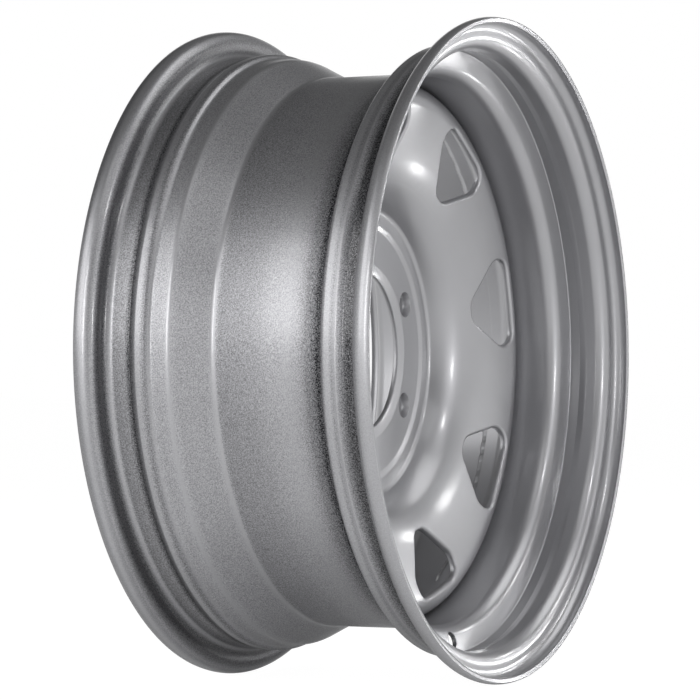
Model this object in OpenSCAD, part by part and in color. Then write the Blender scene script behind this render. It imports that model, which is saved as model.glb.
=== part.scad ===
// Steel road wheel: a rolled rim hoop, a pressed centre disc and the weld runs that join them.
// Sections are drawn as [radius, axial] with the axial direction pointing outboard, then spun.
// The finished wheel stands upright: its axle lies along Y and its outboard face looks along -Y.

/* [Rim hoop] */
// Nominal diameter of the bead seats
bead_seat_d = 405.6; // [380:0.1:432]
// Width between the two flange faces
rim_w = 177.8; // [170:0.1:229]
// Height of the flanges above the bead seat diameter
flange_h = 17.2; // [16.5:0.1:20]
// Sheet thickness of the hoop
rim_t = 3; // [2:0.1:4]
// Outside radius of the rolled flange lip
lip_r = 9.5; // [7:0.1:10]
// How far the lip rolls past its highest point, in degrees
lip_roll = 26; // [5:1:40]
// Straight tail of the lip at its free edge
lip_tail = 0.1; // [0.1:0.1:3]
// Fillet between a flange and its bead seat
flange_root_r = 6.5; // [4.5:0.1:7]
// Taper of the bead seats, in degrees
seat_taper = 5; // [3:0.5:7]
// Depth of the drop-centre well below the bead seat diameter
well_depth = 17.5; // [14:0.1:24]
// Width of the well floor
well_w = 78; // [62:0.5:82]
// Distance from the outboard flange face to the foot of the steep well wall
well_set = 31.9; // [30:0.1:38]
// Slope of the steep outboard well wall, in degrees from the axle
well_wall_angle = 73; // [68:0.5:78]
// Slope of the inboard well side, in degrees from the axle
well_side_angle = 27.5; // [24:0.5:34]
// Bend radius at the well corners
well_bend_r = 8; // [4:0.5:9]

/* [Safety humps] */
// Height of the humps above the bead seats
hump_h = 1.7; // [1:0.1:2.2]
// Width of the flat top of a hump
hump_w = 6; // [5.5:0.1:7]
// Axial length of the ramp from a bead seat up to its hump
hump_ramp = 5; // [4:0.1:6]
// Width of the outboard bead seat, from the flange face to the hump ramp
seat_out_w = 11.4; // [11:0.1:12]
// Width of the inboard bead seat, from the flange face to the hump ramp
seat_in_w = 16.6; // [14:0.1:18]
// Drop from the inboard hump top to the ledge behind it
ledge_drop = 3.2; // [2.5:0.1:4]
// Fall of the ledge on its way to the well
ledge_fall = 1; // [0.5:0.1:1.5]
// Bend radius on the humps
hump_bend_r = 4; // [3.2:0.1:4.2]

/* [Valve hole] */
// Diameter of the valve hole
valve_d = 11.3; // [8:0.1:15.8]
// Angle of the valve hole round the wheel
valve_angle = 267.7; // [0:0.1:360]

/* [Centre disc] */
// Sheet thickness of the disc
disc_t = 5; // [3.5:0.1:6]
// Axial place of the hub mounting face, outboard of the rim's mid-plane
mount_z = -8; // [-20:0.5:5]
// Diameter of the centre bore
bore_d = 106; // [60:0.1:112]
// Radial width of the coined lead-in round the bore
bore_coin_w = 8; // [2:0.1:12]
// Depth of the coined lead-in round the bore
bore_coin_h = 1.8; // [0.5:0.1:2.5]
// Diameter of the flat hub pad
hub_pad_d = 168; // [164:0.5:172]
// Height of the small step round the hub pad
hub_step_h = 1.2; // [0.5:0.1:1.5]
// Radial width of the small step round the hub pad
hub_step_w = 4; // [3.5:0.1:5]
// Bend radius of the small step round the hub pad
hub_step_r = 6; // [5.5:0.1:7]
// Radial width of the flat land between the step and the dish
hub_land_w = 9.5; // [8.5:0.1:12]
// Slope of the dish wall at its foot, in degrees from the hub pad
dish_angle = 63; // [56:0.5:66]
// Axial height of the dish wall above the hub land, before its bends
dish_h = 13.8; // [12.5:0.1:15]
// Bend radius at the foot of the dish wall
dish_foot_r = 4; // [3:0.5:5]
// Slope of the crown between the dish wall and the windowed band
crown_angle = 29; // [25:0.5:33]
// Radial width of the crown, before its bends
crown_w = 17.7; // [16:0.1:20]
// Largest bend radius on the dish side of the crown
crown_in_r = 34; // [20:0.5:40]
// Largest bend radius on the band side of the crown
crown_out_r = 94; // [60:1:110]
// Slope of the windowed band beside the crown
band_in_angle = 17.5; // [16:0.5:20]
// Slope of the windowed band beside the shoulder
band_out_angle = 14; // [11:0.5:15]
// Radial width of the band's steeper part
band_in_w = 22.4; // [20:0.1:25]
// Largest bend radius of the band's slight crowning
band_r = 450; // [300:10:500]
// Outside radius of the shoulder where the disc turns back into the rim
shoulder_r = 14; // [8:0.5:15]
// Straight length of the skirt behind the shoulder
skirt_l = 7.9; // [6:0.1:12]
// Gap between the skirt and the rim well, all round
skirt_gap = 0.1; // [0.05:0.05:0.3]

/* [Lug holes] */
// Number of lug holes
lug_count = 6; // [4:1:8]
// Pitch circle diameter of the lug holes
lug_pcd = 139.7; // [136:0.1:144]
// Diameter of a lug hole
lug_d = 14; // [11:0.1:15]
// Diameter of the conical nut seat at the hub pad's face
lug_seat_d = 17.5; // [16:0.1:19]
// Included angle of the conical nut seat, in degrees
lug_seat_angle = 60; // [58:1:90]
// Angle of the first lug hole round the wheel
lug_angle = 27.8; // [0:0.1:60]

/* [Windows] */
// Number of windows
window_count = 8; // [5:1:9]
// Distance from the skirt in to a window's straight outer edge
window_margin = 16.2; // [15:0.1:20]
// Radial height of a window
window_h = 41.4; // [34:0.1:44]
// Width of a window's outer edge before its corners are rounded
window_out_w = 91.2; // [60:0.5:94]
// Width of a window's inner edge before its corners are rounded
window_in_w = 14; // [12.5:0.1:20]
// Corner radius at the outer edge
window_out_r = 11.5; // [6:0.5:12]
// Corner radius at the inner edge
window_in_r = 11; // [6:0.5:11]
// Angle of the first window round the wheel
window_angle = 12.9; // [0:0.1:45]

/* [Weld runs] */
// Number of weld runs
weld_count = 4; // [2:1:5]
// Length of one weld run, in degrees round the wheel
weld_run = 54; // [10:1:66]
// Axial leg of the weld along the rim well
weld_leg = 5.5; // [3:0.1:7]
// Bare strip left beside the weld on the skirt's free edge
weld_strip = 0.5; // [0.2:0.1:1.5]
// Height of the weld's crown above a flat fillet
weld_crown = 0.9; // [0.3:0.1:1.2]
// Angle of the first weld run's start
weld_angle = 297.5; // [0:0.5:360]

/* [Hidden] */
$fn = 96;
// Largest turn between neighbouring points of a bend, in degrees
arc_step = 9;
// Smallest bend radius left on the tight side of a bend
tight_r = 0.3;
// Steps round the axle of a spun section
spin_steps = 180;
// Overlap that lets a cut pass clean through a face
cut = 1;
seat_r = bead_seat_d / 2;
flange_z = rim_w / 2;
flange_top_r = seat_r + flange_h;
well_r = seat_r - well_depth;
well_in_r = well_r - rim_t;
skirt_r = well_in_r - skirt_gap;
bore_r = bore_d / 2;
pad_z = mount_z + disc_t;
steel_silver = [0.66, 0.66, 0.67];

// Direction of a vector, at length one
function unit(v) = v / norm(v);

// Left-hand normal of a direction
function left(u) = [-u[1], u[0]];

// Vector turned about the origin
function turned(v, a) = [v[0] * cos(a) - v[1] * sin(a), v[0] * sin(a) + v[1] * cos(a)];

// Signed turn at corner b on the way from a to c
function turn_at(a, b, c) =
    let (u = unit(b - a), w = unit(c - b))
    atan2(u[0] * w[1] - u[1] * w[0], u * w);

// Points of a bend of radius r at corner b, or the bare corner where r is 0
function bend(a, b, c, r) =
    let (u = unit(b - a), s = turn_at(a, b, c))
    let (start = b - u * r * tan(abs(s) / 2), centre = start + sign(s) * r * left(u))
    let (n = max(2, ceil(abs(s) / arc_step)))
    r <= 0 ? [b] : [for (i = [0:n]) centre + turned(start - centre, s * i / n)];

// Open path with every inner corner rounded
function rounded(path, radii) =
    let (last = len(path) - 1)
    concat([path[0]],
        [for (i = [1:last - 1]) each bend(path[i - 1], path[i], path[i + 1], radii[i])],
        [path[last]]);

// Closed outline with every corner rounded
function rounded_loop(path, radii) =
    let (n = len(path))
    [for (i = [0:n - 1]) each bend(path[(i + n - 1) % n], path[i], path[(i + 1) % n], radii[i])];

// Path moved t to its left, corner by corner
function shifted(path, t) =
    let (last = len(path) - 1)
    [for (i = [0:last])
        let (n = left(unit(path[max(i, 1)] - path[max(i, 1) - 1])))
        let (m = left(unit(path[min(i, last - 1) + 1] - path[min(i, last - 1)])))
        path[i] + t * (n + m) / (1 + n * m)];

// Bend radii of the path moved t to its left, so that the sheet keeps its thickness
function shifted_radii(path, radii, t) =
    let (last = len(path) - 1)
    [for (i = [0:last])
        i == 0 || i == last || radii[i] <= 0 ? 0 :
        max(tight_r, radii[i] - t * sign(turn_at(path[i - 1], path[i], path[i + 1])))];

// Points in reverse order
function reversed(list) = [for (i = [len(list) - 1:-1:0]) list[i]];

// List without its first entry
function tail(list) = [for (i = [1:len(list) - 1]) list[i]];

// Rolled flange lip, from its free edge to the root of the flange, on the side given by s
function lip_path(s) =
    let (sweep = 90 + lip_roll, reach = lip_r * tan(sweep / 2))
    let (corner = [flange_top_r - lip_r + reach, s * flange_z])
    [corner + (reach + lip_tail) * [cos(sweep), s * sin(sweep)], corner, [seat_r, s * flange_z]];

// Radius of a bead seat at a distance from its flange face
function seat_at(d) = seat_r - d * tan(seat_taper);

// Tyre side of the hoop, from the inboard lip to the outboard lip
ramp_in_z = -flange_z + seat_in_w;
ramp_out_z = flange_z - seat_out_w;
hump_in_r = seat_at(seat_in_w) + hump_h;
hump_out_r = seat_at(seat_out_w) + hump_h;
ledge_r = hump_in_r - ledge_drop;
ledge_z = ramp_in_z + hump_ramp + hump_w + ledge_drop;
wall_foot_z = flange_z - well_set;
wall_top_z = wall_foot_z + (hump_out_r - well_r) / tan(well_wall_angle);
side_foot_z = wall_foot_z - well_w;
side_top_z = side_foot_z - (ledge_r - ledge_fall - well_r) / tan(well_side_angle);
rim_path = concat(lip_path(-1), [
    [seat_at(seat_in_w), ramp_in_z],
    [hump_in_r, ramp_in_z + hump_ramp],
    [hump_in_r, ramp_in_z + hump_ramp + hump_w],
    [ledge_r, ledge_z],
    [ledge_r - ledge_fall, side_top_z],
    [well_r, side_foot_z],
    [well_r, wall_foot_z],
    [hump_out_r, wall_top_z],
    [hump_out_r, ramp_out_z - hump_ramp],
    [seat_at(seat_out_w), ramp_out_z]],
    reversed(lip_path(1)));
rim_radii = [0, lip_r, flange_root_r, hump_bend_r, hump_bend_r, hump_bend_r, hump_bend_r,
    well_bend_r, well_bend_r, well_bend_r, hump_bend_r, hump_bend_r, hump_bend_r,
    flange_root_r, lip_r, 0];

// Outboard face of the disc, from the hub pad to the skirt's free edge
land_z = pad_z + hub_step_h;
step_r = hub_pad_d / 2 + hub_step_w;
land_r = step_r + hub_land_w;
dish_wall_r = land_r + dish_h / tan(dish_angle);
dish_wall_z = land_z + dish_h;
crown_end_r = dish_wall_r + crown_w;
crown_end_z = dish_wall_z + crown_w * tan(crown_angle);
band_mid_r = crown_end_r + band_in_w;
band_mid_z = crown_end_z + band_in_w * tan(band_in_angle);
shoulder_z = band_mid_z + (skirt_r - band_mid_r) * tan(band_out_angle);
skirt_end_z = shoulder_z - shoulder_r * tan((90 + band_out_angle) / 2) - skirt_l;
// Bends kept small enough for the straight runs on both sides of them
wall_left = dish_h / sin(dish_angle) - dish_foot_r * tan(dish_angle / 2) - 0.1;
crown_l = crown_w / cos(crown_angle);
band_l = band_in_w / cos(band_in_angle);
band_left = (skirt_r - band_mid_r) / cos(band_out_angle) - shoulder_r * tan((90 + band_out_angle) / 2) - 0.1;
crown_in_bend = min(crown_in_r, min(wall_left, 0.52 * crown_l) / tan((dish_angle - crown_angle) / 2));
crown_out_bend = min(crown_out_r, min(0.47 * crown_l, 0.41 * band_l) / tan((crown_angle - band_in_angle) / 2));
band_bend = min(band_r, min(0.588 * band_l, band_left) / tan((band_in_angle - band_out_angle) / 2));
disc_path = [
    [bore_r, pad_z],
    [hub_pad_d / 2, pad_z],
    [step_r, land_z],
    [land_r, land_z],
    [dish_wall_r, dish_wall_z],
    [crown_end_r, crown_end_z],
    [band_mid_r, band_mid_z],
    [skirt_r, shoulder_z],
    [skirt_r, skirt_end_z]];
disc_radii = [0, hub_step_r, hub_step_r, dish_foot_r, crown_in_bend, crown_out_bend, band_bend,
    shoulder_r, 0];

// Solid of revolution about the wheel's axle, from a section drawn as [radius, axial]
module spun(section, sweep = 360) {
    rotate_extrude(angle = sweep, $fn = spin_steps)
        polygon(section);
}

// Copies of the children spaced evenly round the axle
module round_the_axle(count, first) {
    for (i = [0:count - 1])
        rotate([0, 0, first + i * 360 / count])
            children();
}

// Stands the wheel upright, with its outboard face along -Y
module upright() {
    rotate([90, 0, 0])
        children();
}

// Drill through the middle of the steep well wall, square to it, one hole diameter each way
module valve_drill() {
    wall_r = (well_r + hump_out_r - rim_t) / 2;
    wall_z = (wall_foot_z + wall_top_z) / 2;
    rotate([0, 0, valve_angle])
        translate([wall_r, 0, wall_z])
            rotate([0, well_wall_angle - 90, 0])
                cylinder(d = valve_d, h = 2 * valve_d, center = true);
}

module rim() {
    tyre_side = rounded(rim_path, rim_radii);
    inner_path = shifted(rim_path, rim_t);
    inner_side = rounded(inner_path, shifted_radii(rim_path, rim_radii, rim_t));
    color(steel_silver)
        upright()
            difference() {
                spun(concat(tyre_side, reversed(inner_side)));
                valve_drill();
            }
}

// Outline of one window, on the +X side
module window_outline() {
    window_out = skirt_r - window_margin;
    window_in = window_out - window_h;
    corners = [
        [window_in, -window_in_w / 2],
        [window_out, -window_out_w / 2],
        [window_out, window_out_w / 2],
        [window_in, window_in_w / 2]];
    polygon(rounded_loop(corners, [window_in_r, window_out_r, window_out_r, window_in_r]));
}

// Lug hole with its conical nut seat opening on the hub pad
module lug_drill() {
    seat_depth = (lug_seat_d - lug_d) / 2 / tan(lug_seat_angle / 2);
    cone_extra = cut * tan(lug_seat_angle / 2);
    translate([lug_pcd / 2, 0, mount_z - cut])
        cylinder(d = lug_d, h = disc_t + 2 * cut);
    translate([lug_pcd / 2, 0, pad_z - seat_depth])
        cylinder(r1 = lug_d / 2, r2 = lug_seat_d / 2 + cone_extra, h = seat_depth + cut);
}

module disc() {
    // The face starts with a coined lead-in instead of the sharp corner of the plain path
    lead_in = [
        [bore_r, mount_z],
        [bore_r, pad_z - bore_coin_h],
        [bore_r + bore_coin_w, pad_z]];
    lead_in_radii = [0, bore_coin_h / 2, bore_coin_w / 2];
    face_side = rounded(concat(lead_in, tail(disc_path)), concat(lead_in_radii, tail(disc_radii)));
    back_path = shifted(disc_path, -disc_t);
    back_side = rounded(back_path, shifted_radii(disc_path, disc_radii, -disc_t));
    color(steel_silver)
        upright()
            difference() {
                spun(concat(face_side, reversed(tail(back_side))));
                round_the_axle(lug_count, lug_angle)
                    lug_drill();
                round_the_axle(window_count, window_angle)
                    translate([0, 0, mount_z])
                        linear_extrude(shoulder_z - mount_z)
                            window_outline();
            }
}

module weld_beads() {
    // Convex fillet between the rim well and the skirt's free edge
    skirt_toe = [skirt_r - disc_t + weld_strip, skirt_end_z];
    well_toe = [well_in_r, skirt_end_z - weld_leg];
    crown = (skirt_toe + well_toe) / 2 + weld_crown * left(unit(skirt_toe - well_toe));
    bead = [[well_in_r, skirt_end_z], skirt_toe, crown, well_toe];
    color(steel_silver)
        upright()
            round_the_axle(weld_count, weld_angle)
                spun(bead, weld_run);
}

rim();
disc();
weld_beads();
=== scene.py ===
import math

import bmesh
import bpy
from bpy.props import FloatProperty, FloatVectorProperty, IntProperty, PointerProperty, StringProperty
from bpy.types import Operator, Panel, PropertyGroup
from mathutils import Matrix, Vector, noise


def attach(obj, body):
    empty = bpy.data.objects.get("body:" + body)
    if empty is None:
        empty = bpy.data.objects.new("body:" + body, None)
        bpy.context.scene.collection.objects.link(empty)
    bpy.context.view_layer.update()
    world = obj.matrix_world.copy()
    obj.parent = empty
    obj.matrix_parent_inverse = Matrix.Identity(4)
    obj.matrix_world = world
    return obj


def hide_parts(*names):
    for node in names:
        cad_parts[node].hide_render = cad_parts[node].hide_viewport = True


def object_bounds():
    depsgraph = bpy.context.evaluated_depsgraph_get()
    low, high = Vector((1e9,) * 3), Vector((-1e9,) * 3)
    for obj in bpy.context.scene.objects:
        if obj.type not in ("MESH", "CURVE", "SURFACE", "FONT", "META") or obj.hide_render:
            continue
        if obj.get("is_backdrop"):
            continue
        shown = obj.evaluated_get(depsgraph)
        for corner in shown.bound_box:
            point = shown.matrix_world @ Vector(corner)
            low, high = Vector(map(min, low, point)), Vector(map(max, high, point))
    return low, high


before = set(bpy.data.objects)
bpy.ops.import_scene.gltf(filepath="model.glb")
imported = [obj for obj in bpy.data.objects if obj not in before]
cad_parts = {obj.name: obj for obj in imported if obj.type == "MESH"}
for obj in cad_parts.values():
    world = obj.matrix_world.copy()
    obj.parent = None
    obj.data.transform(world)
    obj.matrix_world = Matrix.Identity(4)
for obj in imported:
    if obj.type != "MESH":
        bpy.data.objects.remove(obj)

bl_info = {
    "name": "Steel wheel rim",
    "version": (1, 0, 0),
    "blender": (4, 5, 0),
    "location": "View3D > Sidebar > Wheel",
    "description": "Builds a painted steel wheel: a rolled hoop, a pressed centre disc and their weld runs",
    "category": "Object",
}

MM = 0.001
AXLE = Vector((0.0, 1.0, 0.0))
BODY = "root"
ENAMEL = "silver_flake_enamel"

# How finely bends are drawn: in a drawn section, in the disc's rings, and in the sections that shading follows
ARC_STEP = math.radians(9)
RING_STEP = math.radians(7)
FINE_STEP = math.radians(1.5)
# Straight runs of the hoop's section are drawn in steps no longer than this
STRAIGHT_STEP = 2.5 * MM
# Edges that turn by more than this get rounded
SHARP = math.radians(50)
# Points closer than this become one, with the finer value for the hoop
MERGE = 0.01 * MM
MERGE_FINE = 0.005 * MM
# A point this close to a face counts as on it
NEAR = 0.1 * MM


# ---- values a user would change


def length(name, mm, description):
    """Length property whose default is given in millimetres"""
    return FloatProperty(name=name, description=description, default=mm * MM, unit="LENGTH", precision=5)


def turn(name, degrees, description):
    """Angle property whose default is given in degrees"""
    return FloatProperty(name=name, description=description, default=math.radians(degrees), subtype="ANGLE")


def tint(name, code, description):
    """Colour property written as an sRGB hex value"""
    return StringProperty(name=name, description=description, default=code)


class HoopSizes(PropertyGroup):
    bead_seat_d: length("Bead seat", 405.6, "Nominal diameter of the bead seats")
    rim_w: length("Width", 177.8, "Width between the two flange faces")
    flange_h: length("Flange height", 17.2, "Height of the flanges above the bead seats")
    sheet: length("Sheet", 3.0, "Sheet thickness of the hoop")
    lip_r: length("Lip radius", 9.5, "Outside radius of the rolled flange lip")
    lip_roll: turn("Lip roll", 26.0, "How far the lip rolls past its highest point")
    lip_tail: length("Lip tail", 0.1, "Straight tail at the free edge of the lip")
    root_r: length("Flange root", 6.5, "Fillet between a flange and its bead seat")
    seat_taper: turn("Seat taper", 5.0, "Taper of the bead seats")
    well_depth: length("Well depth", 17.5, "Depth of the well below the bead seats")
    well_w: length("Well width", 78.0, "Width of the well floor")
    well_set: length("Well set", 31.9, "From the outboard flange face to the foot of the steep wall")
    wall_angle: turn("Wall angle", 73.0, "Slope of the steep outboard well wall")
    side_angle: turn("Side angle", 27.5, "Slope of the inboard well side")
    well_bend_r: length("Well bend", 8.0, "Bend radius at the well corners")
    hump_h: length("Hump height", 1.7, "Height of the humps above the bead seats")
    hump_w: length("Hump width", 6.0, "Width of the flat top of a hump")
    hump_ramp: length("Hump ramp", 5.0, "Length of the ramp up to a hump")
    seat_out_w: length("Outboard seat", 11.4, "From the outboard flange face to the hump ramp")
    seat_in_w: length("Inboard seat", 16.6, "From the inboard flange face to the hump ramp")
    ledge_drop: length("Ledge drop", 3.2, "Drop from the inboard hump to the ledge behind it")
    ledge_fall: length("Ledge fall", 1.0, "Fall of the ledge on its way to the well")
    hump_bend_r: length("Hump bend", 4.0, "Bend radius on the humps")
    edge_r: length("Sheet edge", 0.7, "Rounding left by the paint on the free sheet edges")
    valve_d: length("Valve hole", 11.3, "Diameter of the valve hole")
    valve_angle: turn("Valve angle", 267.7, "Place of the valve hole round the wheel")
    steps: IntProperty(name="Steps", description="Steps round the axle", default=256, min=64)


class DiscSizes(PropertyGroup):
    sheet: length("Sheet", 5.0, "Sheet thickness of the disc")
    mount_z: length("Mounting face", -8.0, "Hub mounting face, outboard of the rim's mid-plane")
    bore_d: length("Bore", 106.0, "Diameter of the centre bore")
    coin_w: length("Coin width", 8.0, "Radial width of the coined lead-in round the bore")
    coin_h: length("Coin depth", 1.8, "Depth of the coined lead-in round the bore")
    pad_d: length("Hub pad", 168.0, "Diameter of the flat hub pad")
    step_h: length("Step height", 1.2, "Height of the small step round the hub pad")
    step_w: length("Step width", 4.0, "Radial width of the small step")
    step_r: length("Step bend", 6.0, "Bend radius of the small step")
    land_w: length("Land", 9.5, "Flat land between the step and the dish")
    dish_angle: turn("Dish angle", 63.0, "Slope of the dish wall at its foot")
    dish_h: length("Dish height", 13.8, "Height of the dish wall above the hub land, before its bends")
    foot_r: length("Dish foot", 4.0, "Bend radius at the foot of the dish wall")
    crown_angle: turn("Crown angle", 29.0, "Slope of the crown between the dish wall and the band")
    crown_w: length("Crown", 17.7, "Radial width of the crown, before its bends")
    crown_in_r: length("Crown inside", 34.0, "Bend radius on the dish side of the crown")
    crown_out_r: length("Crown outside", 94.0, "Bend radius on the band side of the crown")
    band_in_angle: turn("Band angle", 17.5, "Slope of the windowed band beside the crown")
    band_out_angle: turn("Band end angle", 14.0, "Slope of the windowed band beside the shoulder")
    band_in_w: length("Band", 22.4, "Radial width of the band's steeper part")
    band_r: length("Band bend", 450.0, "Bend radius of the band's slight crowning")
    shoulder_r: length("Shoulder", 14.0, "Outside radius where the disc turns back into the rim")
    skirt_r: length("Skirt radius", 182.2, "Outside radius of the skirt inside the rim well")
    skirt_l: length("Skirt", 7.9, "Straight length of the skirt behind the shoulder")
    lug_count: IntProperty(name="Lug holes", description="Number of lug holes", default=6, min=3)
    lug_pcd: length("Lug circle", 139.7, "Pitch circle diameter of the lug holes")
    lug_d: length("Lug hole", 14.0, "Diameter of a lug hole")
    lug_seat_d: length("Nut seat", 17.5, "Diameter of the conical nut seat")
    lug_seat_angle: turn("Nut seat angle", 60.0, "Included angle of the conical nut seat")
    lug_angle: turn("Lug angle", 27.8, "Place of the first lug hole round the wheel")
    window_count: IntProperty(name="Windows", description="Number of windows", default=8, min=3)
    window_margin: length("Window margin", 16.2, "From the skirt in to a window's outer edge")
    window_h: length("Window height", 41.4, "Radial height of a window")
    window_out_w: length("Outer width", 91.2, "Width of a window's outer edge before rounding")
    window_in_w: length("Inner width", 14.0, "Width of a window's inner edge before rounding")
    window_out_r: length("Outer corner", 11.5, "Corner radius at the outer edge")
    window_in_r: length("Inner corner", 11.0, "Corner radius at the inner edge")
    window_angle: turn("Window angle", 12.9, "Place of the first window round the wheel")
    window_edge_r: length("Window edge", 2.4, "Rounding of the coined window edges")
    edge_r: length("Sheet edge", 0.6, "Rounding left by the paint on the other edges")


class WeldSizes(PropertyGroup):
    count: IntProperty(name="Runs", description="Number of weld runs", default=4, min=1)
    run: turn("Run", 54.0, "Length of one run round the wheel")
    start: turn("Start", 297.5, "Place of the first run's start")
    leg: length("Leg", 5.5, "Leg of the weld along the rim well")
    strip: length("Strip", 0.5, "Bare strip left beside the weld on the skirt's edge")
    crown: length("Crown", 0.9, "Height of the crown above a flat fillet")
    ripple: length("Ripple", 3.4, "Spacing of the ripples along a run")


class PaintFinish(PropertyGroup):
    silver: tint("Silver", "#A9A9AC", "Aluminium-flake enamel")
    # The primer colour also draws the painted shade in the creases of the tyre side
    primer: tint("Primer", "#343437", "Dark dip primer that shows through thin enamel")
    grain: length("Grain", 0.8, "Width of one grain of the dry overspray")
    cloud: length("Cloud", 70.0, "Width of the soft changes from pass to pass of the gun")


class StageSettings(PropertyGroup):
    lens: FloatProperty(
        name="Lens", description="Focal length on a 36 mm sensor, in millimetres", default=160.87)
    camera_at: FloatVectorProperty(
        name="Camera", description="Place of the camera", subtype="TRANSLATION",
        default=(-1.9079, -0.9080, -0.0057))
    camera_turn: FloatVectorProperty(
        name="Camera turn", description="Rotation of the camera", subtype="EULER",
        default=tuple(math.radians(a) for a in (90.187, 0.386, -64.166)))
    floor_gap: length("Floor gap", 0.5, "Air between the floor and the lowest lip")
    paper: tint("Paper", "#F4F4F4", "White paper of the floor")


# ---- plain sections, drawn as (radius, outboard) pairs


def corner(a, b, c, r):
    """Rounded corner at b on the way from a to c: start, end and centre of its arc, and its signed turn"""
    way, onward = (b - a).normalized(), (c - b).normalized()
    swing = math.atan2(way.x * onward.y - way.y * onward.x, way.dot(onward))
    start = b - way * r * math.tan(abs(swing) / 2)
    finish = b + onward * r * math.tan(abs(swing) / 2)
    centre = start + Vector((-way.y, way.x)) * r * math.copysign(1, swing)
    return start, finish, centre, swing


def arc(start, centre, swing, steps):
    """Points along an arc, both ends included"""
    d = start - centre
    return [centre + Vector((d.x * math.cos(t) - d.y * math.sin(t), d.x * math.sin(t) + d.y * math.cos(t)))
            for t in (swing * i / steps for i in range(steps + 1))]


def bend_steps(swing, step):
    """Number of steps that a bend is drawn in"""
    return max(2, math.ceil(abs(swing) / step))


def bent(path, radii, step):
    """Points along an open path with its corners rounded"""
    points = [path[0]]
    for a, b, c, r in zip(path, path[1:], path[2:], radii[1:]):
        start, _, centre, swing = corner(a, b, c, r)
        points += arc(start, centre, swing, bend_steps(swing, step))
    return points + [path[-1]]


def hoop_section(s):
    """Tyre side of the hoop, from the inboard lip to the outboard lip, with a radius for each corner"""
    seat_r = s.bead_seat_d / 2
    flange = s.rim_w / 2
    top = seat_r + s.flange_h
    sweep = math.pi / 2 + s.lip_roll
    tangent = s.lip_r * math.tan(sweep / 2)

    def seat_at(d):
        return seat_r - d * math.tan(s.seat_taper)

    def lip(side):
        bend = Vector((top - s.lip_r + tangent, side * flange))
        way = Vector((math.cos(sweep), side * math.sin(sweep)))
        return [bend + way * (tangent + s.lip_tail), bend, Vector((seat_r, side * flange))]

    ramp_in, ramp_out = -flange + s.seat_in_w, flange - s.seat_out_w
    hump_in, hump_out = seat_at(s.seat_in_w) + s.hump_h, seat_at(s.seat_out_w) + s.hump_h
    well = seat_r - s.well_depth
    ledge = hump_in - s.ledge_drop
    wall_foot = flange - s.well_set
    wall_top = wall_foot + (hump_out - well) / math.tan(s.wall_angle)
    side_foot = wall_foot - s.well_w
    side_top = side_foot - (ledge - s.ledge_fall - well) / math.tan(s.side_angle)
    middle = [
        (seat_at(s.seat_in_w), ramp_in),
        (hump_in, ramp_in + s.hump_ramp),
        (hump_in, ramp_in + s.hump_ramp + s.hump_w),
        (ledge, ramp_in + s.hump_ramp + s.hump_w + s.ledge_drop),
        (ledge - s.ledge_fall, side_top),
        (well, side_foot),
        (well, wall_foot),
        (hump_out, wall_top),
        (hump_out, ramp_out - s.hump_ramp),
        (seat_at(s.seat_out_w), ramp_out)]
    path = lip(-1) + [Vector(p) for p in middle] + lip(1)[::-1]
    bends = [s.hump_bend_r] * 4 + [s.well_bend_r] * 3 + [s.hump_bend_r] * 3
    radii = [0, s.lip_r, s.root_r] + bends + [s.root_r, s.lip_r, 0]
    return path, radii


def valve_place(s):
    """Middle of the steep well wall as (radius, outboard)"""
    seat_r = s.bead_seat_d / 2
    hump_out = seat_r - s.seat_out_w * math.tan(s.seat_taper) + s.hump_h
    well = seat_r - s.well_depth
    foot = s.rim_w / 2 - s.well_set
    return (well + hump_out - s.sheet) / 2, foot + (hump_out - well) / math.tan(s.wall_angle) / 2


def disc_section(s):
    """Outboard face of the disc, from the bore to the skirt's free edge, with a radius for each corner"""
    pad = s.mount_z + s.sheet
    land = pad + s.step_h
    land_in = s.pad_d / 2 + s.step_w
    land_out = land_in + s.land_w
    wall_top = land + s.dish_h
    wall_at = land_out + s.dish_h / math.tan(s.dish_angle)
    crown = wall_top + s.crown_w * math.tan(s.crown_angle)
    crown_at = wall_at + s.crown_w
    band = crown + s.band_in_w * math.tan(s.band_in_angle)
    band_at = crown_at + s.band_in_w
    shoulder = band + (s.skirt_r - band_at) * math.tan(s.band_out_angle)
    end = shoulder - s.shoulder_r * math.tan((math.pi / 2 + s.band_out_angle) / 2) - s.skirt_l
    path = [
        (s.bore_d / 2, pad), (s.pad_d / 2, pad), (land_in, land), (land_out, land), (wall_at, wall_top),
        (crown_at, crown), (band_at, band), (s.skirt_r, shoulder), (s.skirt_r, end)]
    radii = [0, s.step_r, s.step_r, s.foot_r, s.crown_in_r, s.crown_out_r, s.band_r, s.shoulder_r, 0]
    return [Vector(p) for p in path], radii


# ---- modelling by operators


def section_plane(p):
    """Section point (radius, outboard) in the plane that the wheel is spun from"""
    return Vector((p[0], -p[1], 0.0))


def face_plane(p):
    """Point (radial, sideways) in a plane square to the axle"""
    return Vector((p[0], 0.0, p[1]))


SECTION_NORMAL = Vector((0.0, 0.0, -1.0))


def begin(name):
    """New mesh object in edit mode, with one vertex at the origin"""
    if bpy.context.object and bpy.context.object.mode != "OBJECT":
        bpy.ops.object.mode_set(mode="OBJECT")
    bpy.ops.object.select_all(action="DESELECT")
    bpy.ops.mesh.primitive_plane_add(size=MM)
    piece = bpy.context.object
    piece.name = name
    piece.data.name = name
    bpy.ops.object.mode_set(mode="EDIT")
    bpy.ops.mesh.select_mode(type="VERT")
    bpy.ops.mesh.select_all(action="SELECT")
    bpy.ops.mesh.merge(type="CENTER")
    return piece


def end():
    """Back to object mode"""
    bpy.ops.object.mode_set(mode="OBJECT")


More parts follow.
